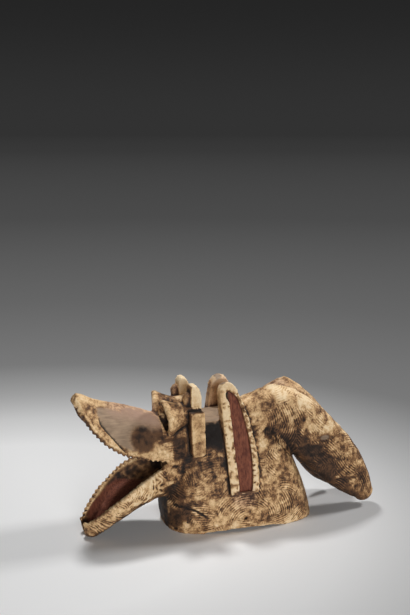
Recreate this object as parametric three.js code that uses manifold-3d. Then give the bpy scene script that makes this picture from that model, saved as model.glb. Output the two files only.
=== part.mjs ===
// Carved wooden animal helmet mask: a deep cap worn on the head, a flat-topped head in front of it,
// wide-open toothed jaws, two flared eye tubes with a stepped slab behind each, two tall leaf-shaped
// ears with a hollowed face, and two thick horns that curve back and down. All of it is one block of
// wood, so it is one solid. Millimetres, +Z up, the snout towards -X.
import * as THREE from 'three';
import { mergeVertices } from 'three/addons/utils/BufferGeometryUtils.js';
import Module from 'manifold-3d';

// Driving sizes. X runs back from the tip of the lower jaw, Y is across, Z is up from the ground.
const WALL = 13; // wood left at the rim of the cap and along the edges of the jaws
const HEAD_TOP = 200; // height of the head's flat top
const HEAD_HALF = 46; // half width of the flat top
const CLEAR = 1200; // a cutting block of this size is larger than the whole mask

// The cap, in level slices: height, front end, back end, half width.
const CAP = [
  { z: 0, front: 139, back: 416, half: 84 },
  { z: 28, front: 136, back: 409, half: 88 },
  { z: 70, front: 139, back: 395, half: 86 },
  { z: 115, front: 148, back: 378, half: 79 },
  { z: 155, front: 164, back: 361, half: 67 },
  { z: 190, front: 200, back: 350, half: 54 },
  { z: 210, front: 255, back: 335, half: 36 },
];
const CAP_SQUARE = 3.1; // how boxy a slice of the cap is: 2 is an ellipse
const CAP_SLANT = 10; // the cap is this much narrower at its front than at its back, each side
const CAP_CROWN = 12; // the cap rounds in over this last part of its height
const CROWN_DROP = 0.75; // how far a crown rounds in: 1 closes it to a point
const HOLLOW = { top: 168, crown: 34 }; // ceiling inside the cap, and the height over which it rounds in
const RIM_ARCH = { middle: 266, reach: 74, rise: 5 }; // the rim's sides are carved clear of the ground
const CORD_HOLE = { x: 266, z: 23, diameter: 8 }; // for the costume's lashing, one on each side

// Upper jaw and head, from the tip back: ridge point, edge point, half width at the edge, boxiness.
const HEAD = [
  { ridge: [-16, 258], edge: [-24, 243], half: 14, square: 2.2 },
  { ridge: [0, 253], edge: [-14, 219], half: 31, square: 1.6 },
  { ridge: [14, 246], edge: [-2, 198], half: 46, square: 1.3 },
  { ridge: [38, 239], edge: [20, 174], half: 59, square: 1.25 },
  { ridge: [70, 230], edge: [53, 154], half: 65, square: 1.3 },
  { ridge: [112, 214], edge: [95, 141], half: 62, square: 1.7 },
  { ridge: [150, 202], edge: [135, 131], half: 55, square: 2.8 },
  { ridge: [185, HEAD_TOP], edge: [180, 116], half: HEAD_HALF, square: 6 },
  { ridge: [240, HEAD_TOP], edge: [240, 100], half: HEAD_HALF + 2, square: 7 },
  { ridge: [285, HEAD_TOP], edge: [285, 100], half: HEAD_HALF, square: 7 },
];
// The hollow under the upper jaw: wood left over it, how far it runs out below the jaw, its back end.
const PALATE = { thickness: 15, below: 8, end: 132 };

// Lower jaw, from the tip back: edge point, half width at the edge, keel point.
const CHIN = [
  { edge: [-13, 25], half: 17, keel: [-7, 2] },
  { edge: [-2, 37], half: 29, keel: [3, -3] },
  { edge: [15, 53], half: 42, keel: [20, 6] },
  { edge: [39, 75], half: 56, keel: [44, 26] },
  { edge: [64, 96], half: 63, keel: [70, 41] },
  { edge: [96, 114], half: 61, keel: [98, 53] },
  { edge: [132, 130], half: 52, keel: [128, 58] },
  { edge: [172, 138], half: 44, keel: [168, 55] },
];
const CHIN_SQUARE = 2.9; // how full the hull of the lower jaw is
// The hollow of the lower jaw: depth, boxiness, how far it runs out above the jaw, its back end.
const TROUGH = { depth: 33, square: 3.6, above: 12, end: 138 };
const KEEL_SHARE = 0.8; // the hollow takes at most this much of the jaw's own depth
// V notches across the jaws' edges: spacing, depth, width across, place of the first, and the
// number of the jaws' sections that they run along.
const TEETH = { pitch: 9.6, depth: 6, across: 46, first: 8, sections: 7 };

// Eyes: flared tubes that look forward, slightly downward, made by turning an outline of radius and
// distance back from the face. The bore narrows inwards.
const EYE = { x: 129, y: 34, z: 207 };
const EYE_OUTLINE = [
  [0, 0], [30, 0], [32, 2], [32, 7], [28, 14], [23.5, 24], [20.5, 35], [20.5, 58], [0, 58],
];
const EYE_HOLE = { mouth: 22, end: 14, depth: 40, proud: 2 };
const EYE_NEAR = { dip: 9, splay: 2 }; // degrees
const EYE_FAR = { dip: 2, splay: 16 };

// Slab behind each eye, as outlines in X and Z: a low front step and a tall tooth on the head, and a
// bar down its side, which reaches further out. Points above the crest rise or drop with the slab.
const SLAB = { y: 36.5, thickness: 25, stepThickness: 17, barOuter: 66, arris: 2, crest: 247 };
const SLAB_TOOTH = [[174, 180], [194, 180], [195, 245], [192, 256], [186, 264], [177, 264], [174, 258]];
const SLAB_STEP = [[169, 180], [178, 180], [178, 252], [168, 248], [163, 238], [164, 228]];
const SLAB_BAR = [
  [175, 141], [192, 141], [197, 145], [195, 218], [192, 221], [170, 221], [168, 218], [172, 146],
];
const FAR_SLAB = { rise: -3, back: 3 }; // the far slab is a little lower and further back

// Ears: leaf-shaped boards, hollowed on the outer face, leaning in at the top.
const EAR = { height: 198, thickness: 20, border: 11, hollow: 8, proud: 3, lean: 14 };
const EAR_BELLY = [40, 105]; // heights between which the back edge swells out
const EAR_TURN = { front: 20, back: 16 }; // how far under the tip each edge turns in to it
const EAR_MARGIN = { foot: 0.35, front: 1.45, back: 1.05, top: 1.5 }; // the raised edge, in borders
// Each ear: middle of the foot, half width there, how far the back edge swells out, how far the front
// edge leans forward, how far back the tip lies, turn in degrees, and how round the tip is.
const EAR_NEAR = { foot: [260.5, 91, 73], half: 25.5, bulge: 9, flare: 3.5, tip: -12, slant: -1, round: 17 };
const EAR_FAR = { foot: [258, 90, 67], half: 27, bulge: 11, flare: -1, tip: -4, slant: 2.5, round: 16 };

// Horns, root to tip: middle of the section, half depth across the bend, half thickness.
const HORN = [
  { at: [255, -20, 170], deep: 28, thick: 26 },
  { at: [283, -24, 187], deep: 40, thick: 32 },
  { at: [314, -26, 194], deep: 44, thick: 34 },
  { at: [346, -28, 198], deep: 49, thick: 33 },
  { at: [387, -31, 173], deep: 50, thick: 30 },
  { at: [431, -34, 131], deep: 49, thick: 28 },
  { at: [472, -37, 87], deep: 44, thick: 26 },
  { at: [505, -39, 48], deep: 32, thick: 23 },
  { at: [523, -40, 24], deep: 19, thick: 17 },
];
const HORN_SQUARE = 2.4; // how boxy a horn's section is
const HORN_TIP = { length: 15, share: 0.14 }; // the blunt round end, and its share of the steps
// Against the near horn, the far one's bend lies further back and a little higher, and its root is
// lower, up to a shoulder between these shares of its length. The tuck is how far forward and up
// its lower end is drawn.
const NEAR_HORN = { lag: 0, sag: 0, shoulder: [0, 1], rise: 0, tuck: [0, 0] };
const FAR_HORN = { lag: 12, sag: 60, shoulder: [0.27, 0.405], rise: 14, tuck: [26, 8] };
const TUCKED = [0.55, 0.95]; // the shares of a horn's length between which the tuck comes in

const wasm = await Module();
wasm.setup();

// A closed three.js geometry as a solid that can be joined and cut.
function solid(geometry) {
  const shape = geometry.index ? geometry.toNonIndexed() : geometry.clone();
  shape.deleteAttribute('normal');
  shape.deleteAttribute('uv');
  const merged = mergeVertices(shape, 1e-3);
  const points = merged.getAttribute('position');
  const index = Array.from(merged.index.array);
  const [a, b, c] = [new THREE.Vector3(), new THREE.Vector3(), new THREE.Vector3()];
  const triangles = [];
  let volume = 0;
  for (let i = 0; i < index.length; i += 3) {
    const corners = index.slice(i, i + 3);
    if (new Set(corners).size < 3) continue;
    a.fromBufferAttribute(points, corners[0]);
    b.fromBufferAttribute(points, corners[1]);
    c.fromBufferAttribute(points, corners[2]);
    volume += a.dot(b.cross(c));
    triangles.push(...corners);
  }
  if (volume < 0) triangles.reverse();
  return new wasm.Manifold(new wasm.Mesh({
    numProp: 3,
    vertProperties: Float32Array.from(points.array),
    triVerts: Uint32Array.from(triangles),
  }));
}

function geometryOf(manifold) {
  const mesh = manifold.getMesh();
  const geometry = new THREE.BufferGeometry();
  geometry.setAttribute('position', new THREE.BufferAttribute(mesh.vertProperties, mesh.numProp));
  geometry.setIndex(new THREE.BufferAttribute(mesh.triVerts, 1));
  return geometry;
}

const mirrored = (s) => s.scale([1, -1, 1]);

const smoothCurve = (points) => new THREE.CatmullRomCurve3(points, false, 'catmullrom', 0.5);

// A smooth curve through a list of numbers, read at t from 0 to 1.
function along(values, t) {
  const curve = smoothCurve(values.map((v) => new THREE.Vector3(v, 0, 0)));
  return curve.getPoint(THREE.MathUtils.clamp(t, 0, 1)).x;
}

// A bent column: skin(t, angle, r) places the point at length t, angle a and radius r, each 0 to 1.
function loft(steps, sides, skin) {
  const column = new THREE.CylinderGeometry(1, 1, 1, sides, steps);
  const points = column.getAttribute('position');
  for (let i = 0; i < points.count; i++) {
    const r = Math.min(1, Math.hypot(points.getX(i), points.getZ(i)));
    const angle = Math.atan2(points.getZ(i), points.getX(i));
    const p = skin(points.getY(i) + 0.5, angle, r);
    points.setXYZ(i, p.x, p.y, p.z);
  }
  return solid(column);
}

// One coordinate of a superellipse: cosine or sine bent towards a box as square grows.
function bent(value, square) {
  if (Math.abs(value) < 1e-9) return 0;
  return Math.sign(value) * Math.abs(value) ** (2 / square);
}

// The cap's outside, or its inside when it is drawn in by a wall. The last part, crown, rounds in.
function capForm(wall, top, crown) {
  const slices = CAP.length - 1;
  return loft(12, 36, (t, angle, r) => {
    const z = top * t;
    let i = CAP.findIndex((slice) => slice.z >= z);
    i = Math.max(1, i < 0 ? slices : i);
    const s = (i - 1 + (z - CAP[i - 1].z) / (CAP[i].z - CAP[i - 1].z)) / slices;
    const front = along(CAP.map((c) => c.front), s) + wall;
    const back = along(CAP.map((c) => c.back), s) - wall;
    const half = along(CAP.map((c) => c.half), s) - wall;
    const forward = bent(Math.cos(angle), CAP_SQUARE);
    const slant = 1 - (CAP_SLANT / half) * (1 - forward) / 2;
    const rise = Math.max(0, z - top + crown) / crown;
    const reach = r * Math.sqrt(1 - CROWN_DROP * rise ** 2);
    return new THREE.Vector3(
      (front + back) / 2 + (reach * forward * (back - front)) / 2,
      reach * bent(Math.sin(angle), CAP_SQUARE) * half * slant,
      z,
    );
  });
}

// A round bar laid across the whole mask.
const crossBar = (radius, sides) => new THREE.CylinderGeometry(radius, radius, CLEAR, sides);

// The two low arches under the rim's sides, as one bar that is cut away.
function rimArch() {
  return solid(crossBar(1, 28).scale(RIM_ARCH.reach, 1, RIM_ARCH.rise).translate(RIM_ARCH.middle, 0, 0));
}

// Upper jaw and head: a tent-shaped snout that turns into a flat-topped box. Drawn in and lowered, the
// same form is the hollow under the upper jaw.
function headForm(inset, drop, below) {
  return loft(18, 22, (t, angle, r) => {
    const read = (pick) => along(HEAD.map(pick), t);
    const half = read((h) => h.half) - inset;
    const square = read((h) => h.square);
    const up = Math.sin(angle) > 0 ? bent(Math.sin(angle), square) : 0;
    const ridge = [read((h) => h.ridge[0]), read((h) => h.ridge[1]) - drop];
    const edge = [read((h) => h.edge[0]), read((h) => h.edge[1]) - below];
    const lift = r * up;
    return new THREE.Vector3(
      edge[0] + (ridge[0] - edge[0]) * lift,
      r * bent(Math.cos(angle), square) * Math.max(2, half),
      edge[1] + (ridge[1] - edge[1]) * lift,
    );
  });
}

// Lower jaw: a leaf-shaped boat. Drawn in and shallower, the same form is its hollow.
function chinForm(inset, depth, above, square) {
  return loft(15, 22, (t, angle, r) => {
    const read = (pick) => along(CHIN.map(pick), t);
    const half = read((c) => c.half) - inset;
    const edge = [read((c) => c.edge[0]), read((c) => c.edge[1])];
    const keel = [read((c) => c.keel[0]), read((c) => c.keel[1])];
    const sink = Math.min(depth / (edge[1] - keel[1]), inset > 0 ? KEEL_SHARE : 1);
    const down = Math.sin(angle) < 0 ? -bent(Math.sin(angle), square) * sink : 0;
    const rise = Math.sin(angle) < 0 ? 0 : above;
    return new THREE.Vector3(
      edge[0] + (keel[0] - edge[0]) * r * down,
      r * bent(Math.cos(angle), square) * Math.max(2, half),
      edge[1] + (keel[1] - edge[1]) * r * down + r * rise,
    );
  });
}

// V notches along one edge of a jaw, laid square across it, that leave a row of pointed teeth.
function teethCuts(sections, side) {
  const curve = smoothCurve(sections.map((s) => new THREE.Vector3(s.edge[0], side * s.half, s.edge[1])));
  const length = curve.getLength();
  const cuts = [];
  for (let d = TEETH.first; d < length - TEETH.pitch; d += TEETH.pitch) {
    const tangent = curve.getTangentAt(d / length);
    const inward = new THREE.Vector3(0, -side, 0).projectOnPlane(tangent).normalize();
    const up = new THREE.Vector3().crossVectors(tangent, inward);
    const turn = new THREE.Matrix4().makeBasis(tangent, inward, up);
    turn.setPosition(curve.getPointAt(d / length));
    const wedge = new THREE.CylinderGeometry(TEETH.depth, TEETH.depth, TEETH.across, 4);
    cuts.push(solid(wedge.applyMatrix4(turn)));
  }
  return wasm.Manifold.union(cuts);
}

function eye(side, { dip, splay }) {
  const profile = EYE_OUTLINE.map(([radius, back]) => new THREE.Vector2(radius, back));
  const { mouth, end, depth, proud } = EYE_HOLE;
  const hole = new THREE.CylinderGeometry(end, mouth, depth + proud, 24);
  hole.translate(0, (depth - proud) / 2, 0);
  const place = new THREE.Matrix4()
    .makeTranslation(EYE.x, side * EYE.y, EYE.z)
    .multiply(new THREE.Matrix4().makeRotationZ(THREE.MathUtils.degToRad(-side * splay)))
    .multiply(new THREE.Matrix4().makeRotationY(THREE.MathUtils.degToRad(-dip)))
    .multiply(new THREE.Matrix4().makeRotationZ(-Math.PI / 2));
  return {
    tube: solid(new THREE.LatheGeometry(profile, 28).applyMatrix4(place)),
    hole: solid(hole.applyMatrix4(place)),
  };
}

// A flat outline in X and Z, given thickness across from one Y to another.
function board(outline, fromY, toY, bevel = 0) {
  const body = new THREE.ExtrudeGeometry(outline, {
    depth: Math.abs(toY - fromY) - 2 * bevel,
    bevelEnabled: bevel > 0,
    bevelSize: bevel,
    bevelOffset: -bevel,
    bevelThickness: bevel,
    bevelSegments: 1,
    curveSegments: 8,
  });
  body.translate(0, 0, bevel);
  body.rotateX(Math.PI / 2);
  body.translate(0, Math.max(fromY, toY), 0);
  return solid(body);
}

// Step, tooth and side bar of the slab behind one eye. The far one is mirrored by its caller.
function slab(rise) {
  const outer = -(SLAB.y + SLAB.thickness / 2);
  const inner = -(SLAB.y - SLAB.thickness / 2);
  const inset = (SLAB.thickness - SLAB.stepThickness) / 2;
  const outline = (points) => new THREE.Shape(
    points.map(([x, z]) => new THREE.Vector2(x, z > SLAB.crest ? z + rise : z)),
  );
  return wasm.Manifold.union([
    board(outline(SLAB_TOOTH), outer, inner, SLAB.arris),
    board(outline(SLAB_STEP), outer + inset, inner - inset, SLAB.arris),
    board(outline(SLAB_BAR), -SLAB.barOuter, inner, SLAB.arris),
  ]);
}

// Leaf outline of an ear, foot at the origin, drawn in by a border for the hollowed face.
function leaf({ half, bulge, flare, tip, round }, border) {
  const top = EAR.height - border * EAR_MARGIN.top;
  const foot = border * EAR_MARGIN.foot;
  const front = border * EAR_MARGIN.front - half;
  const back = half - border * EAR_MARGIN.back;
  const outline = new THREE.Shape();
  outline.moveTo(front, foot);
  outline.lineTo(back, foot);
  outline.bezierCurveTo(
    back + bulge, EAR_BELLY[0],
    back + bulge * 0.9, EAR_BELLY[1],
    tip + round, top - EAR_TURN.back,
  );
  outline.quadraticCurveTo(tip + round * 0.4, top, tip, top);
  const lean = front - flare;
  outline.quadraticCurveTo(Math.min(tip - round * 0.7, lean + 3), top, lean, top - EAR_TURN.front);
  outline.lineTo(front, foot);
  return outline;
}

// One ear's board and the hollow of its face, leant in and set on the cap's side.
function ear(shape, side) {
  const place = (s) => {
    const set = s
      .rotate([0, shape.slant, 0])
      .rotate([-EAR.lean, 0, 0])
      .translate([shape.foot[0], -shape.foot[1], shape.foot[2]]);
    return side < 0 ? set : mirrored(set);
  };
  return {
    board: place(board(leaf(shape, 0), 0, EAR.thickness)),
    hollow: place(board(leaf(shape, EAR.border), -EAR.proud, EAR.hollow)),
  };
}

// One horn: sections square to its bent middle line, and a blunt round end.
function horn({ lag, sag, shoulder, rise, tuck }) {
  const middle = smoothCurve(HORN.map((h) => new THREE.Vector3(...h.at)));
  const body = 1 - HORN_TIP.share;
  return loft(20, 20, (t, angle, r) => {
    const s = Math.min(1, t / body);
    const end = Math.max(0, (t - body) / HORN_TIP.share);
    const swell = r * Math.sqrt(Math.max(0.02, 1 - (end * 0.99) ** 2));
    const deep = swell * bent(Math.sin(angle), HORN_SQUARE) * along(HORN.map((h) => h.deep), s);
    const thick = swell * bent(Math.cos(angle), HORN_SQUARE) * along(HORN.map((h) => h.thick), s);
    const tangent = middle.getTangent(s);
    const across = new THREE.Vector3(0, 1, 0).projectOnPlane(tangent).normalize();
    const outward = new THREE.Vector3().crossVectors(tangent, across);
    const [forward, up] = tuck.map((far) => far * THREE.MathUtils.smoothstep(s, ...TUCKED));
    const back = 2 * lag * Math.sin(Math.PI * s) * (1 - s) - forward;
    const high = rise * (Math.sin(Math.PI * s) * (1 - s)) ** 2;
    const low = sag * (1 - THREE.MathUtils.smoothstep(s, ...shoulder)) - high - up;
    return middle.getPoint(s)
      .add(new THREE.Vector3(back, 0, -low))
      .addScaledVector(tangent, end * HORN_TIP.length)
      .addScaledVector(outward, deep)
      .addScaledVector(across, thick);
  });
}

const block = (x, z) => solid(new THREE.BoxGeometry(CLEAR, CLEAR, CLEAR).translate(x, 0, z));
const below = (z) => block(0, z - CLEAR / 2);
const behind = (x) => block(x + CLEAR / 2, 0);

function carve() {
  const eyes = [eye(-1, EYE_NEAR), eye(1, EYE_FAR)];
  const ears = [ear(EAR_NEAR, -1), ear(EAR_FAR, 1)];
  const underJaw = headForm(WALL, PALATE.thickness, PALATE.below).subtract(behind(PALATE.end));
  const trough = chinForm(WALL, TROUGH.depth, TROUGH.above, TROUGH.square).subtract(behind(TROUGH.end));
  const wood = wasm.Manifold.union([
    capForm(0, CAP.at(-1).z, CAP_CROWN),
    headForm(0, 0, 0).subtract(underJaw),
    chinForm(0, Infinity, 0, CHIN_SQUARE).subtract(trough),
    horn(NEAR_HORN),
    mirrored(horn(FAR_HORN)),
    slab(0),
    mirrored(slab(FAR_SLAB.rise)).translate([FAR_SLAB.back, 0, 0]),
    ...ears.map((e) => e.board),
    ...eyes.map((e) => e.tube),
  ]);
  const cordHoles = crossBar(CORD_HOLE.diameter / 2, 12).translate(CORD_HOLE.x, 0, CORD_HOLE.z);
  const jaws = [HEAD, CHIN].map((sections) => sections.slice(0, TEETH.sections));
  return wood.subtract(wasm.Manifold.union([
    capForm(WALL, HOLLOW.top, HOLLOW.crown),
    rimArch(),
    below(0),
    solid(cordHoles),
    ...eyes.map((e) => e.hole),
    ...ears.map((e) => e.hollow),
    ...jaws.flatMap((sections) => [teethCuts(sections, -1), teethCuts(sections, 1)]),
  ]));
}

const shape = geometryOf(carve());
shape.computeBoundingBox();
const middle = shape.boundingBox.getCenter(new THREE.Vector3());
shape.translate(-middle.x, -middle.y, -shape.boundingBox.min.z);

const kaolinedWood = new THREE.MeshStandardMaterial({ color: 0xb9a47c, roughness: 0.88, metalness: 0 });
const mask = new THREE.Mesh(shape, kaolinedWood);
mask.name = 'mask';

const group = new THREE.Group();
group.add(mask);

export default group;
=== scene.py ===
from math import cos, log10, radians, sin

import bmesh
import bpy
import numpy as np
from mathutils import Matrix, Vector, kdtree


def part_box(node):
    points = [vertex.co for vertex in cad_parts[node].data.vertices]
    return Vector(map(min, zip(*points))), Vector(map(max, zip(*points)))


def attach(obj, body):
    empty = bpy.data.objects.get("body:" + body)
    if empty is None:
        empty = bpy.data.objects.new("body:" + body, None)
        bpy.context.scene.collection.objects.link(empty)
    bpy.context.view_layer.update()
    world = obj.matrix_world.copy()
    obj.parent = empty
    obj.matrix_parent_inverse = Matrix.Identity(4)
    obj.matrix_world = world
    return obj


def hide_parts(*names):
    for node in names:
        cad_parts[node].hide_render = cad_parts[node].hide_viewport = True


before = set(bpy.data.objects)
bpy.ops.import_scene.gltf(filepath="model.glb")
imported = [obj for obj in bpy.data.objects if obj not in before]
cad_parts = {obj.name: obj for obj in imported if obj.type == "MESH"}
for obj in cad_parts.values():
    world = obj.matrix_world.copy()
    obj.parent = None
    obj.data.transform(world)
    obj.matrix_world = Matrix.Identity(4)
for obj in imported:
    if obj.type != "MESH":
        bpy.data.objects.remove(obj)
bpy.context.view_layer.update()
scene = bpy.context.scene

# Camera. The mask is seen from its left front and from a little above, with a long lens,
# so that the near ear stands in the middle and the open jaws point to the left.
PHOTO_HEIGHT = 615
FOCAL_PIXELS = 950
SENSOR = 36
camera = bpy.data.objects.new("camera", bpy.data.cameras.new("camera"))
camera.data.sensor_width = SENSOR
camera.data.lens = SENSOR * FOCAL_PIXELS / PHOTO_HEIGHT
camera.location = (-0.6023, -1.5435, 0.699)
camera.rotation_euler = (radians(79.4), 0, radians(-20))
scene.collection.objects.link(camera)
scene.camera = camera

# Carved mask, its form. A helmet mask is cut from one block of light wood with adze and knife:
# a cap for the head, gaping toothed jaws, tube eyes, two slabs, hollowed ears and drooping horns.
# The blade leaves shallow scoops, and combed lines run in patches over the cap and the horns.
MM = 1000
TIP_AHEAD = 24  # the upper jaw's tip lies this far before the lower one's, in mm
VOXEL = 0.0015  # the size of the mesh's faces before they are thinned out, in metres
FINEST_TRIANGLES = 194000
SMOOTH_ROUNDS = 50

rng = np.random.default_rng(7)
low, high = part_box("mask")
block = np.array([low.x * MM + TIP_AHEAD, (low.y + high.y) / 2 * MM, 0])

merged = bmesh.new()
merged.from_mesh(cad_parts["mask"].data)
bmesh.ops.remove_doubles(merged, verts=merged.verts, dist=1e-5)
rough = bpy.data.meshes.new("rough")
merged.to_mesh(rough)
merged.free()
work = bpy.data.objects.new("work", rough)
scene.collection.objects.link(work)


def finished(kind, **settings):
    """The work object's mesh after one more modifier."""
    modifier = work.modifiers.new(kind.lower(), kind)
    for name, value in settings.items():
        setattr(modifier, name, value)
    graph = bpy.context.evaluated_depsgraph_get()
    mesh = bpy.data.meshes.new_from_object(work.evaluated_get(graph))
    work.modifiers.clear()
    work.data = mesh
    return mesh


def places(mesh):
    """Vertex places in mm, x back from the lower jaw's tip, y across with the near side minus, z up."""
    flat = np.empty(len(mesh.vertices) * 3, np.float32)
    mesh.vertices.foreach_get("co", flat)
    return flat.reshape(-1, 3).astype(float) * MM - block


def normals(mesh):
    flat = np.empty(len(mesh.vertices) * 3, np.float32)
    mesh.vertex_normals.foreach_get("vector", flat)
    return flat.reshape(-1, 3).astype(float)


def move_to(mesh, p):
    mesh.vertices.foreach_set("co", ((p + block) / MM).astype(np.float32).ravel())
    mesh.update()


def ease(start, end, value):
    """0 before start, 1 after end, and a soft step between them."""
    t = np.clip((value - start) / (end - start), 0, 1)
    return t * t * (3 - 2 * t)


def band(start, end, soft, value):
    """1 from start to end, 0 outside, with soft flanks."""
    return ease(start - soft, start, value) * (1 - ease(end, end + soft, value))


def along(p, path, axes=(0, 1, 2)):
    """Length along a path of the nearest point on it, and the distance to it."""
    nodes = np.array(path, float)
    q = p[:, axes]
    nearest = np.full(len(p), 1e9)
    length = np.zeros(len(p))
    run = 0
    for a, b in zip(nodes[:-1], nodes[1:]):
        step = b - a
        size = np.linalg.norm(step)
        t = np.clip((q - a) @ step / size**2, 0, 1)
        d = np.linalg.norm(q - a - t[:, None] * step, axis=1)
        closer = d < nearest
        nearest[closer] = d[closer]
        length[closer] = run + t[closer] * size
        run += size
    return length, nearest


def lumps(p, size, seed):
    """Soft noise from -1 to 1 with lumps of that size in mm."""
    grid = (p + 400) / size
    cell = np.floor(grid).astype(int)
    t = grid - cell
    t = t * t * t * (t * (t * 6 - 15) + 10)
    cell -= cell.min(0)
    lattice = np.random.default_rng(seed).uniform(-1, 1, cell.max(0) + 2)
    total = np.zeros(len(p))
    for i in (0, 1):
        for j in (0, 1):
            for k in (0, 1):
                share = (t[:, 0] if i else 1 - t[:, 0]) * (t[:, 1] if j else 1 - t[:, 1])
                share = share * (t[:, 2] if k else 1 - t[:, 2])
                total += share * lattice[cell[:, 0] + i, cell[:, 1] + j, cell[:, 2] + k]
    return total * 1.5


def relaxed(mesh, p, share, rounds):
    """Places drawn towards their neighbours' mean by a share of the way, round after round."""
    flat = np.empty(len(mesh.edges) * 2, np.int32)
    mesh.edges.foreach_get("vertices", flat)
    a, b = flat.reshape(-1, 2).T
    pull = share / np.maximum(np.bincount(flat, minlength=len(p)), 1)
    soft = p.T.copy()
    for _ in range(rounds):
        for row in soft:
            total = np.bincount(a, row[b], len(p)) + np.bincount(b, row[a], len(p))
            row += pull * total - share * row
    return soft.T


def bulge(mesh, p, n, rounds):
    """How far each vertex stands proud of its smoothed surroundings, in mm."""
    return ((p - relaxed(mesh, p, np.ones(len(p)), rounds)) * n).sum(1)


# Where the forms lie, in mm, seen from the side as (x, z) or in space.
UPPER_EDGE = [(-24, 243), (-14, 219), (-2, 198), (20, 174), (53, 154), (95, 141), (135, 131)]
UPPER_RIDGE = [(-16, 258), (0, 253), (14, 246), (38, 239), (70, 230), (112, 214), (150, 202)]
LOWER_EDGE = [(-13, 25), (-2, 37), (15, 53), (39, 75), (64, 96), (96, 114), (132, 130), (172, 138)]
HORN_LINE = [
    (283, -24, 187), (314, -26, 194), (346, -28, 198), (387, -31, 173),
    (431, -34, 131), (472, -37, 87), (505, -39, 47), (523, -40, 22),
]
CAP_SLICES = [
    (0, 139, 416, 84), (28, 136, 409, 88), (70, 139, 395, 86),
    (115, 148, 378, 79), (155, 164, 361, 67), (190, 200, 350, 54),
]
CAP_SQUARE = 3.1  # how boxy a slice of the cap is: 2 is an ellipse
HALF_WALL = 6.5
HOLLOW_TOP = 176
EARS = {
    -1: {
        "foot": (260.5, -91, 73), "half": 25.5, "bulge": 9, "flare": 3.5,
        "tip": -12, "round": 17, "slant": -1,
    },
    1: {
        "foot": (258, 90, 67), "half": 27, "bulge": 11, "flare": -1,
        "tip": -4, "round": 16, "slant": 2.5,
    },
}
EAR_LEAN = 14  # degrees out of the upright
EAR_TOP = 198  # the ear's height over its foot
EAR_BORDER = {"foot": 3.85, "front": 15.95, "back": 11.55, "top": 16.5}
EAR_THICK = 21
EYE = (34, 207)  # the middle of an eye's tube, across and up
EYE_FACE = 129
EYE_REACH = 36
BORE_REACH = 21.5
SLAB = {"foot": 140, "shelf": 222, "top": 270, "inside": 22, "back": 199}
TOOTH = {"front": 161, "outside": 54}  # the slab's narrow part over its shelf
BAR = {"front": 166, "outside": 68}  # its wide part below the shelf


def in_ear(p, side):
    """Places in an ear's own frame: x across it, y in from its outer face, z up from its foot."""
    foot, slant = EARS[side]["foot"], EARS[side]["slant"]
    q = p - np.array(foot, float)
    q[:, 1] *= -side
    lean = radians(EAR_LEAN)
    y = q[:, 1] * cos(lean) - q[:, 2] * sin(lean)
    z = q[:, 1] * sin(lean) + q[:, 2] * cos(lean)
    turn = radians(slant)
    x = q[:, 0] * cos(turn) - z * sin(turn)
    return np.stack([x, y, q[:, 0] * sin(turn) + z * cos(turn)], 1)


def ear_face(e, side, border=0):
    """Depth in mm inside an ear's outline, drawn in by a share of its raised border."""
    ear = EARS[side]
    foot = border * EAR_BORDER["foot"]
    top = EAR_TOP - border * EAR_BORDER["top"]
    front = border * EAR_BORDER["front"] - ear["half"]
    back = ear["half"] - border * EAR_BORDER["back"]
    lean = front - ear["flare"]
    t = np.linspace(0, 1, 12)[:, None]
    corners = [
        (back, foot), (back + ear["bulge"], 40),
        (back + 0.9 * ear["bulge"], 105), (ear["tip"] + ear["round"], top - 16),
    ]
    share = [(1 - t) ** 3, 3 * t * (1 - t) ** 2, 3 * t * t * (1 - t), t**3]
    curve = sum(s * np.array(c) for s, c in zip(share, corners))
    curve = np.vstack([curve, [(ear["tip"] + 0.55 * ear["round"], top - 5), (ear["tip"], top)]])
    back_edge = np.interp(e[:, 2], curve[:, 1], curve[:, 0])
    front_edge = np.interp(e[:, 2], [foot, top - 20, top - 6, top], [front, lean, lean + 4, ear["tip"]])
    depth = np.minimum(back_edge - e[:, 0], e[:, 0] - front_edge)
    return np.minimum(depth, np.minimum(e[:, 2] - foot, top - e[:, 2]))


def in_hollow(p, n):
    """Whether a place is on the inside of the cap: within the wall's middle, and facing its axis."""
    x, y, z = p.T
    heights, front, back, half = np.array(CAP_SLICES, float).T
    start = np.interp(z, heights, front) + HALF_WALL
    end = np.interp(z, heights, back) - HALF_WALL
    wide = np.interp(z, heights, half) - HALF_WALL
    middle = (start + end) / 2
    ring = np.abs((x - middle) / (end - start) * 2) ** CAP_SQUARE + np.abs(y / wide) ** CAP_SQUARE
    outward = ((x - middle) * n[:, 0] + y * n[:, 1]) / np.hypot(x - middle, y)
    return (ring < 1) & (z < HOLLOW_TOP) & (outward < 0.5)


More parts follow.
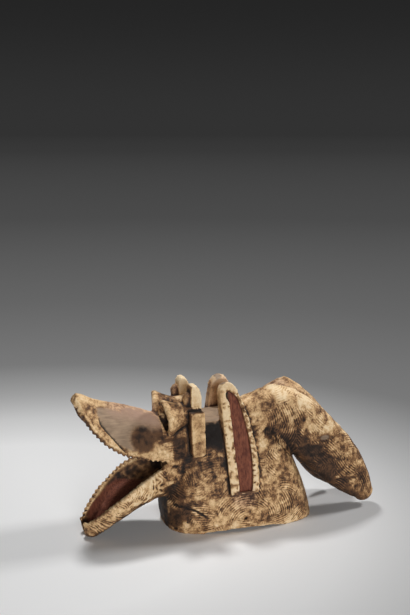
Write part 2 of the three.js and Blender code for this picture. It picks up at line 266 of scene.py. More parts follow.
def parts_of(p, n):
    """How much each place belongs to each form of the carving, from 0 to 1."""
    x, y, z = p.T
    ay = np.abs(y)
    part = {}
    ear = np.zeros(len(p))
    for side in (-1, 1):
        e = in_ear(p, side)
        inside = band(-2, EAR_THICK, 1.5, e[:, 1]) * ease(-3, -1, ear_face(e, side))
        ear = np.maximum(ear, inside)
    part["ear"] = ear
    tooth = band(TOOTH["front"], SLAB["back"], 2, x) * band(SLAB["inside"], TOOTH["outside"], 2, ay)
    tooth *= band(SLAB["shelf"], SLAB["top"], 2, z)
    bar = band(BAR["front"], SLAB["back"], 2, x) * band(SLAB["inside"], BAR["outside"], 2, ay)
    bar *= band(SLAB["foot"], SLAB["shelf"], 2, z)
    part["slab"] = np.maximum(tooth, bar) * (1 - ear)
    from_bore = np.hypot(ay - EYE[0], z - EYE[1])
    part["eye"] = ease(EYE_REACH + 1, EYE_REACH - 1, from_bore) * band(EYE_FACE - 3, 168, 1.5, x)
    part["eye"] *= 1 - part["slab"]
    part["bore"] = ease(BORE_REACH + 1, BORE_REACH - 1, from_bore) * band(EYE_FACE - 1, 172, 2, x)
    horn_at, horn_off = along(np.stack([x, -ay, z], 1), HORN_LINE)
    part["horn"] = ease(15, 60, horn_at) * ease(62, 50, horn_off) * (1 - ear)
    _, upper = along(p, UPPER_EDGE, (0, 2))
    _, ridge = along(p, UPPER_RIDGE, (0, 2))
    jaw_at, lower = along(p, LOWER_EDGE, (0, 2))
    part["upper"], part["ridge"], part["lower"], part["jaw_at"] = upper, ridge, lower, jaw_at
    part["chin"] = (1 - ease(138, 160, x)) * (1 - ease(138, 144, z))
    part["chin"] *= 1 - ease(118, 130, x) * ease(98, 84, z)
    part["snout"] = (1 - ease(140, 165, x)) * ease(128, 150, z + 0.9 * np.maximum(0, x - 20))
    part["snout"] *= (1 - part["eye"]) * ease(116, 124, z)
    part["snout"] *= 1 - part["chin"] * ease(8, -4, z - np.interp(x, *np.array(LOWER_EDGE).T))
    part["hollow"] = in_hollow(p, n).astype(float)
    part["cap"] = ease(118, 128, x) * (1 - 0.999 * part["chin"]) * (1 - ease(168, 185, z))
    part["cap"] *= (1 - ear) * (1 - part["slab"]) * (1 - part["hollow"]) * (1 - part["horn"])
    return part


# The block is cut fine, and its flats and facets are rounded off where the blade went round:
# wholly on the cap and the horns, less on the jaws, least at the teeth, the ears and the slabs.
dense = finished("REMESH", mode="VOXEL", voxel_size=VOXEL)
p = places(dense)
n = normals(dense)
part = parts_of(p, n)
toothed = np.minimum(part["upper"], part["lower"])
broad = np.clip(part["cap"] * ease(4, 16, p[:, 2]) + part["horn"], 0, 1)
softness = 0.02 + 0.2 * part["snout"] * ease(10, 22, toothed)
softness = np.maximum(softness, broad)
softness = np.maximum(softness, 0.5 * part["chin"] * ease(12, 26, toothed))
near_rim = part["chin"] * ease(10, 6, part["lower"]) * ease(2, -4, p[:, 1])
softness = np.maximum(softness, 0.6 * near_rim)
softness = np.maximum(softness, 0.1 * ease(11, 8, toothed))
softness = np.where(part["hollow"] > 0, 0.7 * ease(4, 20, p[:, 2]), softness)
softness *= ease(0.2, 2, p[:, 2])
softness *= 1 - 0.7 * np.maximum(part["ear"], np.maximum(part["slab"], part["eye"]))
softness = 0.7 * np.clip(softness, 0.004, 1)
soft = relaxed(dense, p, softness, SMOOTH_ROUNDS)
p = soft + relaxed(dense, p - soft, softness, SMOOTH_ROUNDS)
move_to(dense, p)
n = normals(dense)

# Combed patches: each has a seed on the surface and a centre that its lines run round.
COMB_PITCH = 4.2
COMBED_BY_HAND = [
    ((262, -80, 45), (268, -80, 14)), ((228, -79, 36), (268, -80, 14)),
    ((300, -80, 36), (268, -80, 14)), ((345, -78, 44), (268, -80, 14)),
    ((190, -72, 44), (180, -72, -60)), ((196, -72, 84), (150, -60, 150)),
    ((160, -54, 70), (200, -60, 190)), ((230, -77, 92), (140, -70, 160)),
    ((316, -62, 158), (262, -62, 172)), ((330, -72, 110), (400, -70, 190)),
    ((312, -50, 222), (240, -50, 190)), ((326, -58, 200), (240, -50, 170)),
    ((352, -58, 200), (250, -50, 160)), ((378, -58, 190), (250, -50, 140)),
    ((392, -58, 160), (300, -60, 80)), ((412, -60, 140), (320, -60, 60)),
    ((440, -60, 118), (360, -60, 40)), ((470, -60, 86), (540, -60, 150)),
    ((496, -60, 50), (420, -60, 10)), ((400, -52, 208), (330, -50, 120)),
]
COMB_CELL = 34  # no two seeds are nearer to each other
COMB_TRIES = 6000
COMB_REACH = (45, 110)  # how far a patch's centre lies from its seed
COMB_DEPTH = 0.32


def combing(p, seeds, centres):
    """The lines' phase, in lines, and how far each place is from its patch's edge."""
    tree = kdtree.KDTree(len(seeds))
    for i, seed in enumerate(seeds):
        tree.insert(seed, i)
    tree.balance()
    owner = np.empty(len(p), int)
    gap = np.empty(len(p))
    for i, q in enumerate(p):
        first, second = tree.find_n(q, 2)
        owner[i] = first[1]
        gap[i] = second[2] - first[2]
    reach = np.linalg.norm(p - np.array(centres)[owner], axis=1)
    return reach / COMB_PITCH, gap


def comb_patches(p, n):
    seeds = [s for s, _ in COMBED_BY_HAND]
    centres = [c for _, c in COMBED_BY_HAND]
    for i in rng.permutation(len(p))[:COMB_TRIES]:
        q = p[i]
        if min(np.linalg.norm(q - np.array(s)) for s in seeds) < COMB_CELL:
            continue
        turn = rng.normal(size=3)
        turn -= n[i] * (turn @ n[i])
        turn /= np.linalg.norm(turn)
        seeds.append(tuple(q))
        centres.append(tuple(q + turn * rng.uniform(*COMB_REACH)))
    return seeds, centres


seeds, centres = comb_patches(p, n)
part = parts_of(p, n)
combed = np.clip(part["cap"] + part["horn"], 0, 1)
unsteady = 3 * np.stack([lumps(p, 14, s) for s in (1, 2, 3)], 1)
phase, gap = combing(p + unsteady, seeds, centres)
lines = 0.5 + 0.5 * np.cos(2 * np.pi * phase)

# How far each place is lifted out of the surface, in mm: soft swellings, then the comb's lines.
x, y, z = p.T
toothed = np.minimum(part["upper"], part["lower"])
crisp = 1 - 0.85 * np.maximum(part["ear"], np.maximum(part["slab"], part["eye"]))
broad = np.clip(part["cap"] + part["horn"] + part["chin"] + part["hollow"], 0, 1)
lift = 1.0 * lumps(p, 45, 11) * (broad * ease(4, 20, z) + 0.2) * crisp
lift += (0.3 * lumps(p, 17, 12) + 0.22 * lumps(p, 6, 13)) * (0.3 + 0.7 * crisp)
comb_mask = combed * (1 - part["hollow"]) * ease(-0.35, 0.35, lumps(p, 26, 14) + 0.5 * lumps(p, 9, 15))
lift -= COMB_DEPTH * comb_mask * lines * ease(0.5, 3, gap)

# Adze scoops: shallow dishes side by side, sharper on the cap and the horns.
SCOOPS = 2600
SCOOP_REACH = 9
scoops = kdtree.KDTree(SCOOPS)
depth = rng.uniform(0.2, 0.9, SCOOPS)
for i, v in enumerate(rng.permutation(len(p))[:SCOOPS]):
    scoops.insert(p[v], i)
scoops.balance()
found = [scoops.find(q)[1:] for q in p]
scoop_of = np.array([f[0] for f in found])
scoop_off = np.array([f[1] for f in found])
dish = depth[scoop_of] * (np.minimum(scoop_off / SCOOP_REACH, 1.3) ** 2 - 0.6)
lift += dish * (0.15 + 0.5 * broad) * ease(3, 12, toothed) * crisp * (1 - 0.8 * part["snout"])

# The upper jaw's sides are sunk a little behind a rib over the teeth, with a knife cut along it.
PANEL_EDGE = [(160, 55), (173, 45), (186, 35), (197, 26), (209, 17), (222, 14), (238, 14)]  # (z, x)
PANEL_SUNK = 1.9
RIB_RAISED = 0.7
panel_edge = np.interp(z, *np.array(PANEL_EDGE, float).T)
sunk = ease(-1.2, 1.2, x - panel_edge) * np.exp(-np.maximum(0, x - panel_edge) / 12)
on_snout = part["snout"] * ease(0.15, 0.4, np.abs(n[:, 1]))
lift -= on_snout * PANEL_SUNK * sunk * band(168, 214, 8, z)
lift += on_snout * RIB_RAISED * band(4, 9, 3, part["upper"]) * (1 - ease(-1, 1, x - panel_edge))

# Gouge strokes down the outside of the lower jaw.
GOUGE_PITCH = 4.4
GOUGE_DEPTH = 0.8


def gouged(p, part):
    """Strokes a gouge's width apart, 1 in the cut, that lean this way and that along the jaw."""
    lean = np.interp(part["jaw_at"], [0, 60, 110, 180], [0.2, -0.5, 0.8, -0.6])
    stroke = part["jaw_at"] + lean * part["lower"] + 2.5 * lumps(p, 12, 21)
    return 0.5 + 0.5 * np.cos(2 * np.pi * stroke / GOUGE_PITCH)


strokes = gouged(p, part)
facing_out = n[:, 1] * np.sign(p[:, 1]) - 0.4 * n[:, 2]
outer_chin = part["chin"] * ease(1, 5, part["lower"]) * ease(0.1, 0.4, facing_out)
lift -= GOUGE_DEPTH * outer_chin * strokes * ease(-0.8, 0.2, lumps(p, 9, 22)) * (1 - ease(110, 150, x))

# The crack in the cap's front corner, the crease below the horn's root, and a knot.
CRACK = [(144, -42, 51), (154, -54, 51), (164, -62, 48), (176, -69, 45), (196, -76, 31)]
CREASE = [(326, -52, 168), (341, -57, 146), (353, -57, 130), (366, -50, 116)]
KNOT = (428, -62, 148)
KNOT_SQUEEZE = (0.8, 0.5, 1.6)  # the knot is wider than it is high
wobble = 1.6 * np.stack([lumps(p, 6, s) for s in (31, 32, 33)], 1)
_, crack_off = along(p + wobble, CRACK)
lift -= 2.0 * np.exp(-((crack_off / 1.5) ** 2))
_, crease_off = along(p + wobble, CREASE)
lift -= 1.6 * np.exp(-((crease_off / 3.0) ** 2))
knot_off = np.linalg.norm((p - KNOT) * KNOT_SQUEEZE, axis=1)
lift += 0.8 * np.exp(-(((knot_off - 8) / 2.5) ** 2)) - 1.2 * np.exp(-((knot_off / 6) ** 2))

# Nicks along every sharp edge, but for the teeth's.
NICKS = 260
sharp = bulge(dense, p, n, 6)
edge_places = np.flatnonzero((sharp > 0.55) & (part["hollow"] < 1) & (z > 3) & (toothed > 9))
for v in rng.choice(edge_places, NICKS, replace=False):
    size = rng.uniform(1.4, 3.4)
    off = np.linalg.norm((p - p[v]) / size, axis=1)
    near = off < 2.5
    lift[near] -= rng.uniform(0.2, 0.55) * size * np.exp(-(off[near] ** 2))

p = p + n * lift[:, None]
p = np.clip(p, np.array(low) * MM - block, np.array(high) * MM - block)
move_to(dense, p)
faces = len(dense.polygons) * 2
carved = finished("DECIMATE", ratio=FINEST_TRIANGLES / faces, use_collapse_triangulate=True)

mask = work
mask.name = "carved_mask"
mask.data.name = "carved_mask"
for face in carved.polygons:
    face.use_smooth = True

# Carved mask, its surface. The wood is soaked dark, washed with pale clay that has worn
# and flaked off in places, and the ears' hollows and the mouth are rubbed with red ochre.
p = places(carved)
n = normals(carved)
part = parts_of(p, n)
x, y, z = p.T
phase, _ = combing(p, seeds, centres)
ragged = 0.3 * lumps(p, 16, 51) + 0.25 * lumps(p, 7, 52)
clay = np.full(len(p), 0.52)
grime = np.ones(len(p))
rosy = np.zeros(len(p))


def wash(value, share):
    """Draws the coat of clay towards a value: 0 is dark bare wood, 1 the brightest clay."""
    clay[:] += (value - clay) * np.clip(share, 0, 1)


# Worn and bright patches on the cap and the horns: place, reach and how much clay is left.
# The darkest ones, at the cap's front under the jaws, are painted shade. Each one shows again
# on the far side, shifted a little along each axis and weaker.
FAR_SHIFT = 7
WEAR_AND_SHADE_PATCHES = [
    ((132, 0, 45), 46, 0.0), ((148, -36, 26), 30, 0.06), ((160, -57, 40), 20, 0.14),
    ((150, -46, 72), 22, 0.2), ((170, -66, 56), 9, 0.08),
    ((148, -45, 66), 14, 0.15), ((209, -75, 75), 13, 0.24), ((190, -73, 25), 9, 0.3),
    ((276, -82, 57), 13, 0.28), ((315, -70, 126), 13, 0.3), ((340, -72, 101), 20, 0.34),
    ((356, -78, 44), 18, 0.36), ((296, -82, 16), 8, 0.34), ((170, -54, 116), 32, 0.24),
    ((205, -60, 128), 26, 0.28), ((320, -66, 60), 20, 0.4), ((450, -50, 96), 46, 0.3),
    ((152, -48, 62), 30, 0.12), ((308, -72, 132), 20, 0.34), ((330, -72, 92), 16, 0.38),
    ((506, -52, 60), 34, 0.36),
    ((330, -58, 154), 10, 0.3), ((350, -70, 130), 16, 0.2), ((240, -72, 100), 14, 0.36),
    ((180, -70, 44), 10, 0.7), ((214, -78, 55), 12, 0.68), ((232, -80, 35), 14, 0.68),
    ((192, -71, 83), 12, 0.64), ((311, -57, 174), 12, 0.76), ((330, -67, 129), 8, 0.64),
    ((246, -79, 13), 10, 0.76), ((352, -79, 17), 12, 0.68), ((302, -64, 150), 12, 0.7),
    ((307, -50, 226), 16, 0.3), ((349, -58, 217), 16, 0.4), ((323, -60, 202), 16, 0.34),
    ((345, -59, 180), 15, 0.1), ((374, -57, 149), 24, 0.02), ((321, -55, 169), 12, 0.12),
    ((401, -56, 117), 22, 0.02), ((441, -59, 84), 22, 0.1), ((473, -60, 57), 17, 0.14),
    ((498, -56, 105), 15, 0.16), ((508, -61, 66), 13, 0.2), ((378, -60, 185), 14, 0.28),
    ((421, -53, 193), 9, 0.4), ((464, -62, 103), 11, 0.36),
    ((390, -54, 212), 19, 0.86), ((415, -59, 173), 17, 0.8), ((449, -62, 128), 12, 0.66),
    ((356, -54, 230), 15, 0.76), ((337, -40, 246), 20, 0.88), ((441, -55, 169), 12, 0.76),
    ((473, -62, 91), 8, 0.6), ((517, -54, 24), 12, 0.66), ((486, -62, 59), 7, 0.5),
]
for place, reach, value in WEAR_AND_SHADE_PATCHES:
    for side, share in ((1, 0.9), (-1, 0.7)):
        at = np.array(place) * [1, side, 1] + (0 if side > 0 else FAR_SHIFT)
        off = np.linalg.norm(p - at, axis=1) / reach
        wash(value, share * ease(1.25, 0.55, off + ragged))
# The horns' undersides are darkened: painted shade.
horn_underside_shade = part["horn"] * ease(-0.15, 0.55, -n[:, 2] - 0.35 * n[:, 0])
wash(0.04, 0.9 * horn_underside_shade)
back_edge = part["horn"] * ease(0.55, 0.85, n[:, 0]) * ease(230, 205, z) * ease(30, 60, z)
wash(0.1, 0.8 * back_edge)
# The near horn's upward faces are brightened: pale clay with a painted highlight.
crest_highlight = part["horn"] * ease(0.55, 0.8, n[:, 2]) * ease(330, 345, x) * ease(485, 460, x)
wash(0.84, 0.6 * crest_highlight * (y < 0))
rosy = np.maximum(rosy, 0.7 * part["horn"] * (y > 0) * ease(0.2, 0.6, n[:, 2]))
wash(0.7, 0.6 * part["cap"] * ease(9, 3, z + 8 * ragged) * ease(170, 190, x))
rosy = np.maximum(rosy, 0.6 * ease(30, 15, np.linalg.norm(p - [262, -80, 66], axis=1)))
_, crack_off = along(p, CRACK)
wash(-0.1, ease(3, 1, crack_off))
knot_off = np.linalg.norm((p - KNOT) * KNOT_SQUEEZE, axis=1)
wash(0.2, ease(14, 9, knot_off))

# The lower jaw: pale outside, brown within, and red at the bottom of the trough.
chin = part["chin"]
lower_edge_z = np.interp(x, *np.array(LOWER_EDGE).T)
below = lower_edge_z - z
inward = -n[:, 1] * np.sign(y)
inner = chin * ease(0.0, 0.3, np.maximum(inward, n[:, 2] - 0.2)) * ease(5, 8, below)
outer = chin * (1 - inner)
wash(0.74, outer)
wash(0.88, outer * np.exp(-(((part["jaw_at"] - 128) / 36) ** 2)) * ease(4, 10, below))
wash(0.42, outer * ease(20, 0, part["jaw_at"]))
wash(0.3, 0.8 * outer * ease(158, 176, part["jaw_at"] + 12 * ragged))
strokes = gouged(p, part)
wash(0.28, 0.6 * outer * strokes * ease(-0.8, 0.2, lumps(p, 9, 22)) * ease(1, 5, below))
wash(0.34, 0.7 * outer * ease(5, 3, below) * ease(-5, 5, y))
# The jaw's downward faces are darkened: painted shade.
wash(0.12, outer * ease(0.3, 0.8, -n[:, 2]))
wash(0.42, inner)
grime = np.where(inner > 0.5, 0.22, grime)
wash(0.36, inner * ease(22, 34, below))
mouth_depth = 7 + 0.36 * np.maximum(0, x - 25)
ochre = inner * ease(-1.5, 2.5, below - mouth_depth + 5 * ragged) * ease(0, 8, x)

# The upper jaw: a pale rib over teeth darkened as painted shade, bare planed sides, a pale border along
# the ridge.
snout = part["snout"]
side_on = ease(0.15, 0.35, np.abs(n[:, 1]))
outside = ease(-0.1, 0.2, n[:, 1] * np.sign(y))
wash(0.55, snout)
rib = snout * band(6, 15, 2, part["upper"])
wash(0.7, rib)
wash(0.12, snout * ease(9, 5, part["upper"]))
wash(0.42, snout * ease(22, 10, x) * ease(222, 232, z))
root = snout * ease(88, 100, x) * ease(166, 156, z + 10 * ragged) * ease(146, 130, x + 12 * ragged)
wash(0.66, root)
wash(0.1, snout * (1 - outside) * ease(6, 10, part["upper"]) * ease(0.3, -0.1, n[:, 2]))
border = snout * ease(13, 7, part["ridge"] + 8 * ragged)
wash(0.66, border)
panel_at = np.interp(z, *np.array(PANEL_EDGE, float).T)
bare = snout * side_on * outside * ease(0, 2, x - panel_at) * ease(12, 17, part["upper"])
bare *= 1 - ease(11, 7, part["ridge"] + 0.1 * np.maximum(0, x - 30) + 9 * ragged)
# Below and behind the near eye the snout is darkened: partly sooty wood, partly painted shade, with the
# eye disc's round shadow painted on the snout's side.
SOOT_AND_SHADE_SPOT = (87, -50, 179)
soot_and_shade = snout * side_on * ease(26, 18, np.linalg.norm((p - SOOT_AND_SHADE_SPOT) * (1, 0.5, 1), axis=1))
behind_it = band(104, 176, 10, x) * ease(168, 176, z + 8 * ragged) * ease(204, 188, z + 8 * ragged)
soot_and_shade = np.maximum(soot_and_shade, (part["snout"] + part["cap"]) * behind_it)
wash(0.14, 0.94 * soot_and_shade)
grime *= 1 - 0.6 * soot_and_shade
# Darkest under the eye tube beside the slab: partly dark wood, partly painted shade.
wash(0.06, 0.95 * band(144, 172, 8, x) * band(138, 192, 8, z + 8 * ragged) * (1 - part["slab"]))
bare *= 1 - np.maximum(soot_and_shade, ease(118, 132, x + 1.2 * np.maximum(0, 195 - z) + 10 * ragged))
rosy = np.maximum(rosy, snout * ease(30, 6, part["ridge"]) * ease(20, 50, x))
# A dark line along the knife cut beside the rib: painted shade in the groove.
knife_cut_shade = snout * side_on * ease(1.6, 0.6, np.abs(x - panel_at)) * band(17, 45, 4, x)
wash(0.0, knife_cut_shade)
bare *= 1 - 0.8 * knife_cut_shade

# The eyes: dark bores in flared discs that the clay has mostly left. The near one holds a speck.
EYE_SPECK = (134, -14, 206)
eye = part["eye"]
wash(0.42, eye)
wash(0.32, eye * ease(0.4, 0.8, n[:, 2]) * ease(136, 144, x))
# The tubes' undersides are darker: partly dark wood, partly painted shade.
wash(0.16, eye * ease(0.2, 0.6, -n[:, 2]) * ease(132, 142, x))
wash(0.5, eye * ease(136, 130, x))
wash(0.3, part["bore"])
wash(0.95, ease(5, 3.5, np.linalg.norm(p - EYE_SPECK, axis=1)))

# The slabs, bright on their outer faces; dark in front and in the cleft, which is painted shade.
slab = part["slab"]
wash(0.52, slab)
wash(0.9, slab * ease(220, 224, z))
wash(0.2, slab * ease(0.45, 0.75, -n[:, 0]) * (y < 0))
wash(0.24, slab * ease(177, 174, x) * ease(220, 224, z) * (y < 0))
wash(0.42, slab * ease(177, 174, x) * ease(220, 224, z) * (y > 0))
rosy = np.maximum(rosy, 0.7 * slab * ease(177, 174, x) * (y > 0))
wash(0.05, slab * ease(2.4, 1, np.abs(z - 221.5)) * ease(-0.3, 0.3, n[:, 2] + 0.5 * ragged))

# The head between slabs and ears: a planed grey top, and a side in the ears' shelter painted near black,
# partly soot and partly painted shade.
top = band(198, 262, 4, x) * ease(182, 192, z) * (1 - part["ear"]) * (1 - slab) * ease(50, 44, np.abs(y))
flat_top = top * ease(0.5, 0.75, n[:, 2])
bare = np.maximum(bare, flat_top)
recess_soot_and_shade = band(196, 236, 5, x) * ease(140, 165, z + 12 * ragged) * (1 - part["ear"]) * (1 - slab)
wash(-0.25, recess_soot_and_shade * (1 - flat_top) * ease(0.2, 0.5, np.abs(n[:, 1])))
bare = np.maximum(bare, 0.85 * ease(8, 6, knot_off))
grime = np.where(recess_soot_and_shade * (1 - flat_top) > 0.5, 0.3, grime)

# The ears: a pale raised border, red in the hollow, darker edges, a front side darkened as painted shade,
# and a brown back.
for side in (-1, 1):
    e = in_ear(p, side)
    hollow = ease(-0.8, 1.2, ear_face(e, side, 1)) * band(0.5, 12, 1.5, e[:, 1]) * part["ear"]
    ochre = np.maximum(ochre, hollow)
    on_ear = part["ear"] * ease(30, 26, np.linalg.norm(e[:, :2] - [0, 8], axis=1))
    face = on_ear * ease(4, 1.5, e[:, 1])
    wash(0.46, on_ear)
    wash(0.9 if side < 0 else 0.66, face)
    for seed, at_edge in ((61, ease(7, 1, ear_face(e, side))), (62, ease(-7, -1, ear_face(e, side, 1)))):
        dashes = lumps(p * [1, 1, 2.2], 6.5, seed)
        wash(0.18, 0.9 * face * ease(0.04, 0.2, dashes * at_edge))
    # The ear's front side, low down, is darkened: painted shade.
    wash(0.2, on_ear * (1 - face) * ease(-10, -16, e[:, 0]) * ease(128, 108, e[:, 2]))
    wash(0.6, on_ear * ease(12, 15, e[:, 1]))
    wash(0.85, on_ear * ease(182, 190, e[:, 2]))
    rosy = np.maximum(rosy, 0.8 * on_ear * ease(12, 15, e[:, 1]))
    if side > 0:
        rosy = np.maximum(rosy, 0.5 * on_ear)

wash(0.06, part["hollow"])
wash(0.3, ease(1.5, 0.5, z))
calm = np.maximum(slab, np.maximum(part["ear"], bare))
grime *= 1 - 0.35 * calm
grime *= 1 - 0.5 * part["hollow"]
grime *= 0.5 + 0.5 * ease(0.1, 0.35, clay)
combed = np.clip(part["cap"] + part["horn"], 0, 1) * (1 - part["hollow"])
combed *= ease(-0.3, 0.5, lumps(p, 24, 53) + 0.6 * lumps(p, 10, 54))
combed *= 1 - 0.6 * ease(80, 50, np.linalg.norm(p - [190, -60, 130], axis=1))
proud = bulge(carved, p, n, 4)
for name, values in (
    ("clay", clay), ("grime", grime), ("rosy", rosy), ("ochre", ochre), ("bare", bare),
    ("comb", phase), ("combed", combed),
    ("worn", np.clip(proud * 1.2, 0, 1)), ("crease_shade", np.clip(-proud * 1.6, 0, 1)),
):
    layer = carved.attributes.new(name, "FLOAT", "POINT")
    layer.data.foreach_set("value", values.astype(np.float32))

paint = bpy.data.materials.new("clay_washed_wood")
paint.use_nodes = True
nodes, links = paint.node_tree.nodes, paint.node_tree.links
nodes.clear()


def plug(socket, value):
    if isinstance(value, bpy.types.NodeSocket):
        links.new(value, socket)
    else:
        socket.default_value = value


def reckon(kind, *values):
    """One Math node."""
    node = nodes.new("ShaderNodeMath")
    node.operation = kind
    for socket, value in zip(node.inputs, values):
        plug(socket, value)
    return node.outputs[0]


def plus(start, *terms):
    """A start value and terms, each a pair of a socket and its weight."""
    for socket, weight in terms:
        start = reckon("MULTIPLY_ADD", socket, weight, start)
    return start


def blend(share, first, second):
    """Mixes two colours."""
    node = nodes.new("ShaderNodeMix")
    node.data_type = "RGBA"
    plug(node.inputs[0], share)
    plug(node.inputs[6], first)
    plug(node.inputs[7], second)
    return node.outputs[2]


def step(start, end, value):
    node = nodes.new("ShaderNodeMapRange")
    node.interpolation_type = "SMOOTHSTEP"
    plug(node.inputs["Value"], value)
    node.inputs["From Min"].default_value = start
    node.inputs["From Max"].default_value = end
    return node.outputs[0]


def read(name):
    node = nodes.new("ShaderNodeAttribute")
    node.attribute_name = name
    return node.outputs["Fac"]


def mottle(size, detail=3.0, rough=0.6, shift=0.0):
    """Noise around 0 whose lumps have that size in mm, one number or one along each axis."""
    sizes = size if isinstance(size, tuple) else (size, size, size)
    place = nodes.new("ShaderNodeMapping")
    links.new(nodes.new("ShaderNodeTexCoord").outputs["Object"], place.inputs["Vector"])
    place.inputs["Scale"].default_value = [MM / s for s in sizes]
    node = nodes.new("ShaderNodeTexNoise")
    node.noise_dimensions = "4D"
    links.new(place.outputs[0], node.inputs["Vector"])
    node.inputs["W"].default_value = shift
    node.inputs["Scale"].default_value = 1
    node.inputs["Detail"].default_value = detail
    node.inputs["Roughness"].default_value = rough
    return reckon("SUBTRACT", node.outputs["Fac"], 0.5)


def colour(red, green, blue):
    """An sRGB colour as the shader's linear one."""
    line = [v / 255 / 12.92 if v <= 10 else ((v / 255 + 0.055) / 1.055) ** 2.4 for v in (red, green, blue)]
    return (*line, 1)


def ramp(value, stops):
    """A colour for each value between the stops."""
    node = nodes.new("ShaderNodeValToRGB")
    plug(node.inputs[0], value)
    elements = node.color_ramp.elements
    while len(elements) < len(stops):
        elements.new(0.5)
    for element, (at, shade) in zip(elements, stops):
        element.position = at
        element.color = shade
    return node.outputs[0]


clouds = mottle(26, 2)
flakes = mottle(9, 3, shift=2)
fine = mottle(3.6, 3, 0.7, shift=4)
dots = mottle(1.7, 2, 0.6, shift=6)
line = reckon("COSINE", reckon("MULTIPLY", plus(read("comb"), (flakes, 0.6)), 6.2832))
line = reckon("MULTIPLY", line, read("combed"))
noise = plus(0.0, (clouds, 1.1), (flakes, 1.2), (fine, 0.8), (dots, 0.5))
cover = plus(read("clay"), (noise, read("grime")), (line, -0.17))
# Proud places get brighter where worn; sunk places are darkened as painted shade in the creases.
cover = plus(cover, (read("worn"), 0.16), (read("crease_shade"), -0.5))
skin = ramp(plus(0.15, (cover, 0.7)), [
    (0.0, colour(26, 19, 15)), (0.18, colour(51, 36, 27)), (0.34, colour(102, 71, 47)),
    (0.45, colour(151, 112, 75)), (0.56, colour(197, 158, 112)), (0.68, colour(226, 190, 142)),
    (0.86, colour(243, 217, 177)),
])
pinked = blend(step(0.2, 0.8, cover), colour(84, 56, 46), colour(196, 156, 132))
skin = blend(reckon("MULTIPLY", read("rosy"), 0.6), skin, pinked)
grain = mottle((40, 3, 3), 3, 0.6, shift=8)
planed = blend(step(-0.3, 0.3, plus(grain, (clouds, 0.8))), colour(140, 118, 97), colour(176, 150, 124))
planed = blend(reckon("MULTIPLY", read("rosy"), 0.8), planed, colour(172, 138, 118))
skin = blend(read("bare"), skin, planed)
brushed = step(-0.2, 0.25, plus(mottle((3, 3, 60), 3, 0.65, shift=9), (flakes, 0.4)))
skin = blend(read("ochre"), skin, blend(brushed, colour(92, 46, 34), colour(150, 90, 66)))

height = plus(0.0, (step(0.3, 0.7, cover), 0.2), (fine, 0.5), (line, -0.1), (dots, 0.35))
BUMP_HEIGHT = 0.0009
bump = nodes.new("ShaderNodeBump")
bump.inputs["Strength"].default_value = 0.7
bump.inputs["Distance"].default_value = BUMP_HEIGHT
links.new(height, bump.inputs["Height"])
shader = nodes.new("ShaderNodeBsdfPrincipled")
links.new(skin, shader.inputs["Base Color"])
links.new(bump.outputs[0], shader.inputs["Normal"])
links.new(plus(0.7, (fine, 0.4), (read("bare"), -0.15)), shader.inputs["Roughness"])
shader.inputs["Specular IOR Level"].default_value = 0.3
out = nodes.new("ShaderNodeOutputMaterial")
links.new(shader.outputs[0], out.inputs["Surface"])
carved.materials.clear()
carved.materials.append(paint)
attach(mask, "root")
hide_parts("mask")

# Floor and light. The floor's colour is a painted pool of light round a point beside the mask,
# darkening with distance into a dim room; further off the floor glows with that painted pool,
# which keeps it even from far off. The key light stands on the right, another one high behind
# the mask, and a broad one beside the camera fills the shade.
FLOOR_REACH = 120
floor_mesh = bmesh.new()
bmesh.ops.create_circle(floor_mesh, cap_ends=True, segments=96, radius=FLOOR_REACH)
floor = bpy.data.objects.new("floor", bpy.data.meshes.new("floor"))
floor_mesh.to_mesh(floor.data)
floor_mesh.free()
scene.collection.objects.link(floor)
PAINTED_POOL_MIDDLE = (-0.36, 0.13, 0)
PAINTED_POOL = [
    (0.40, 0.69), (0.6, 0.55), (0.8, 0.37), (1.15, 0.19),
    (2.2, 0.13), (6, 0.07), (30, 0.04), (FLOOR_REACH, 0.032),
]
DECADES = 3.1
paper = bpy.data.materials.new("pale_floor")
paper.use_nodes = True
nodes, links = paper.node_tree.nodes, paper.node_tree.links
nodes.clear()
away = nodes.new("ShaderNodeVectorMath")
away.operation = "DISTANCE"
links.new(nodes.new("ShaderNodeTexCoord").outputs["Object"], away.inputs[0])
away.inputs[1].default_value = PAINTED_POOL_MIDDLE
off = away.outputs["Value"]
scale = reckon("DIVIDE", reckon("ADD", reckon("LOGARITHM", off, 10), 1), DECADES)
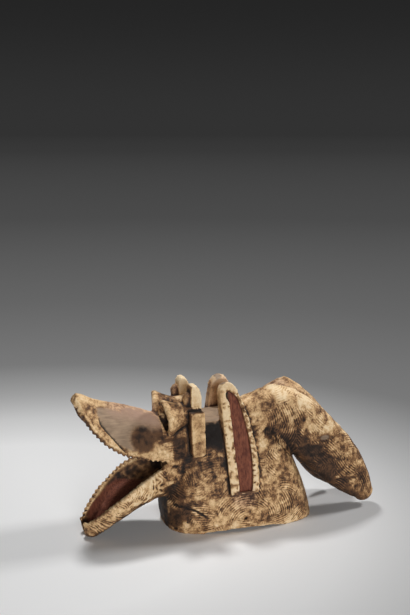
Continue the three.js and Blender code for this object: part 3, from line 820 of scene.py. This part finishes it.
painted_pool_tone = ramp(scale, [((log10(r) + 1) / DECADES, (v, v, v, 1)) for r, v in PAINTED_POOL])
PAPER_GAIN = 1.26  # raises the painted pool where the floor is lit, level with its painted glow further off
matt = nodes.new("ShaderNodeBsdfDiffuse")
lit = nodes.new("ShaderNodeVectorMath")
lit.operation = "SCALE"
lit.inputs["Scale"].default_value = PAPER_GAIN
links.new(painted_pool_tone, lit.inputs[0])
links.new(lit.outputs[0], matt.inputs["Color"])
painted_glow = nodes.new("ShaderNodeEmission")
links.new(painted_pool_tone, painted_glow.inputs["Color"])
both = nodes.new("ShaderNodeMixShader")
links.new(step(0.5, 1.15, off), both.inputs[0])
links.new(matt.outputs[0], both.inputs[1])
links.new(painted_glow.outputs[0], both.inputs[2])
out = nodes.new("ShaderNodeOutputMaterial")
links.new(both.outputs[0], out.inputs["Surface"])
floor.data.materials.append(paper)

room = bpy.data.worlds.new("room")
room.use_nodes = True
nodes, links = room.node_tree.nodes, room.node_tree.links
height = nodes.new("ShaderNodeSeparateXYZ")
links.new(nodes.new("ShaderNodeTexCoord").outputs["Generated"], height.inputs[0])
HORIZON = (0.032, 0.032, 0.032, 1)
ABOVE = (0.018, 0.018, 0.018, 1)
dim = blend(step(0, 0.14, height.outputs["Z"]), HORIZON, ABOVE)
links.new(dim, nodes["Background"].inputs["Color"])
scene.world = room


def lamp(name, azimuth, elevation, distance, size, power):
    """A square light that looks at the mask's middle."""
    light = bpy.data.lights.new(name, "AREA")
    light.shape = "SQUARE"
    light.size = size
    light.energy = power
    holder = bpy.data.objects.new(name, light)
    a, e = radians(azimuth), radians(elevation)
    toward = Vector((sin(a) * cos(e), -cos(a) * cos(e), sin(e)))
    holder.location = Vector((0, 0, 0.12)) + toward * distance
    holder.rotation_euler = toward.to_track_quat("Z", "Y").to_euler()
    holder.visible_camera = False
    scene.collection.objects.link(holder)


lamp("key", 91, 37, 2.0, 0.34, 19)
lamp("back", 196, 69, 2.0, 0.26, 23)
lamp("fill", -8, 12, 2.8, 1.1, 43)
scene.view_settings.view_transform = "Standard"
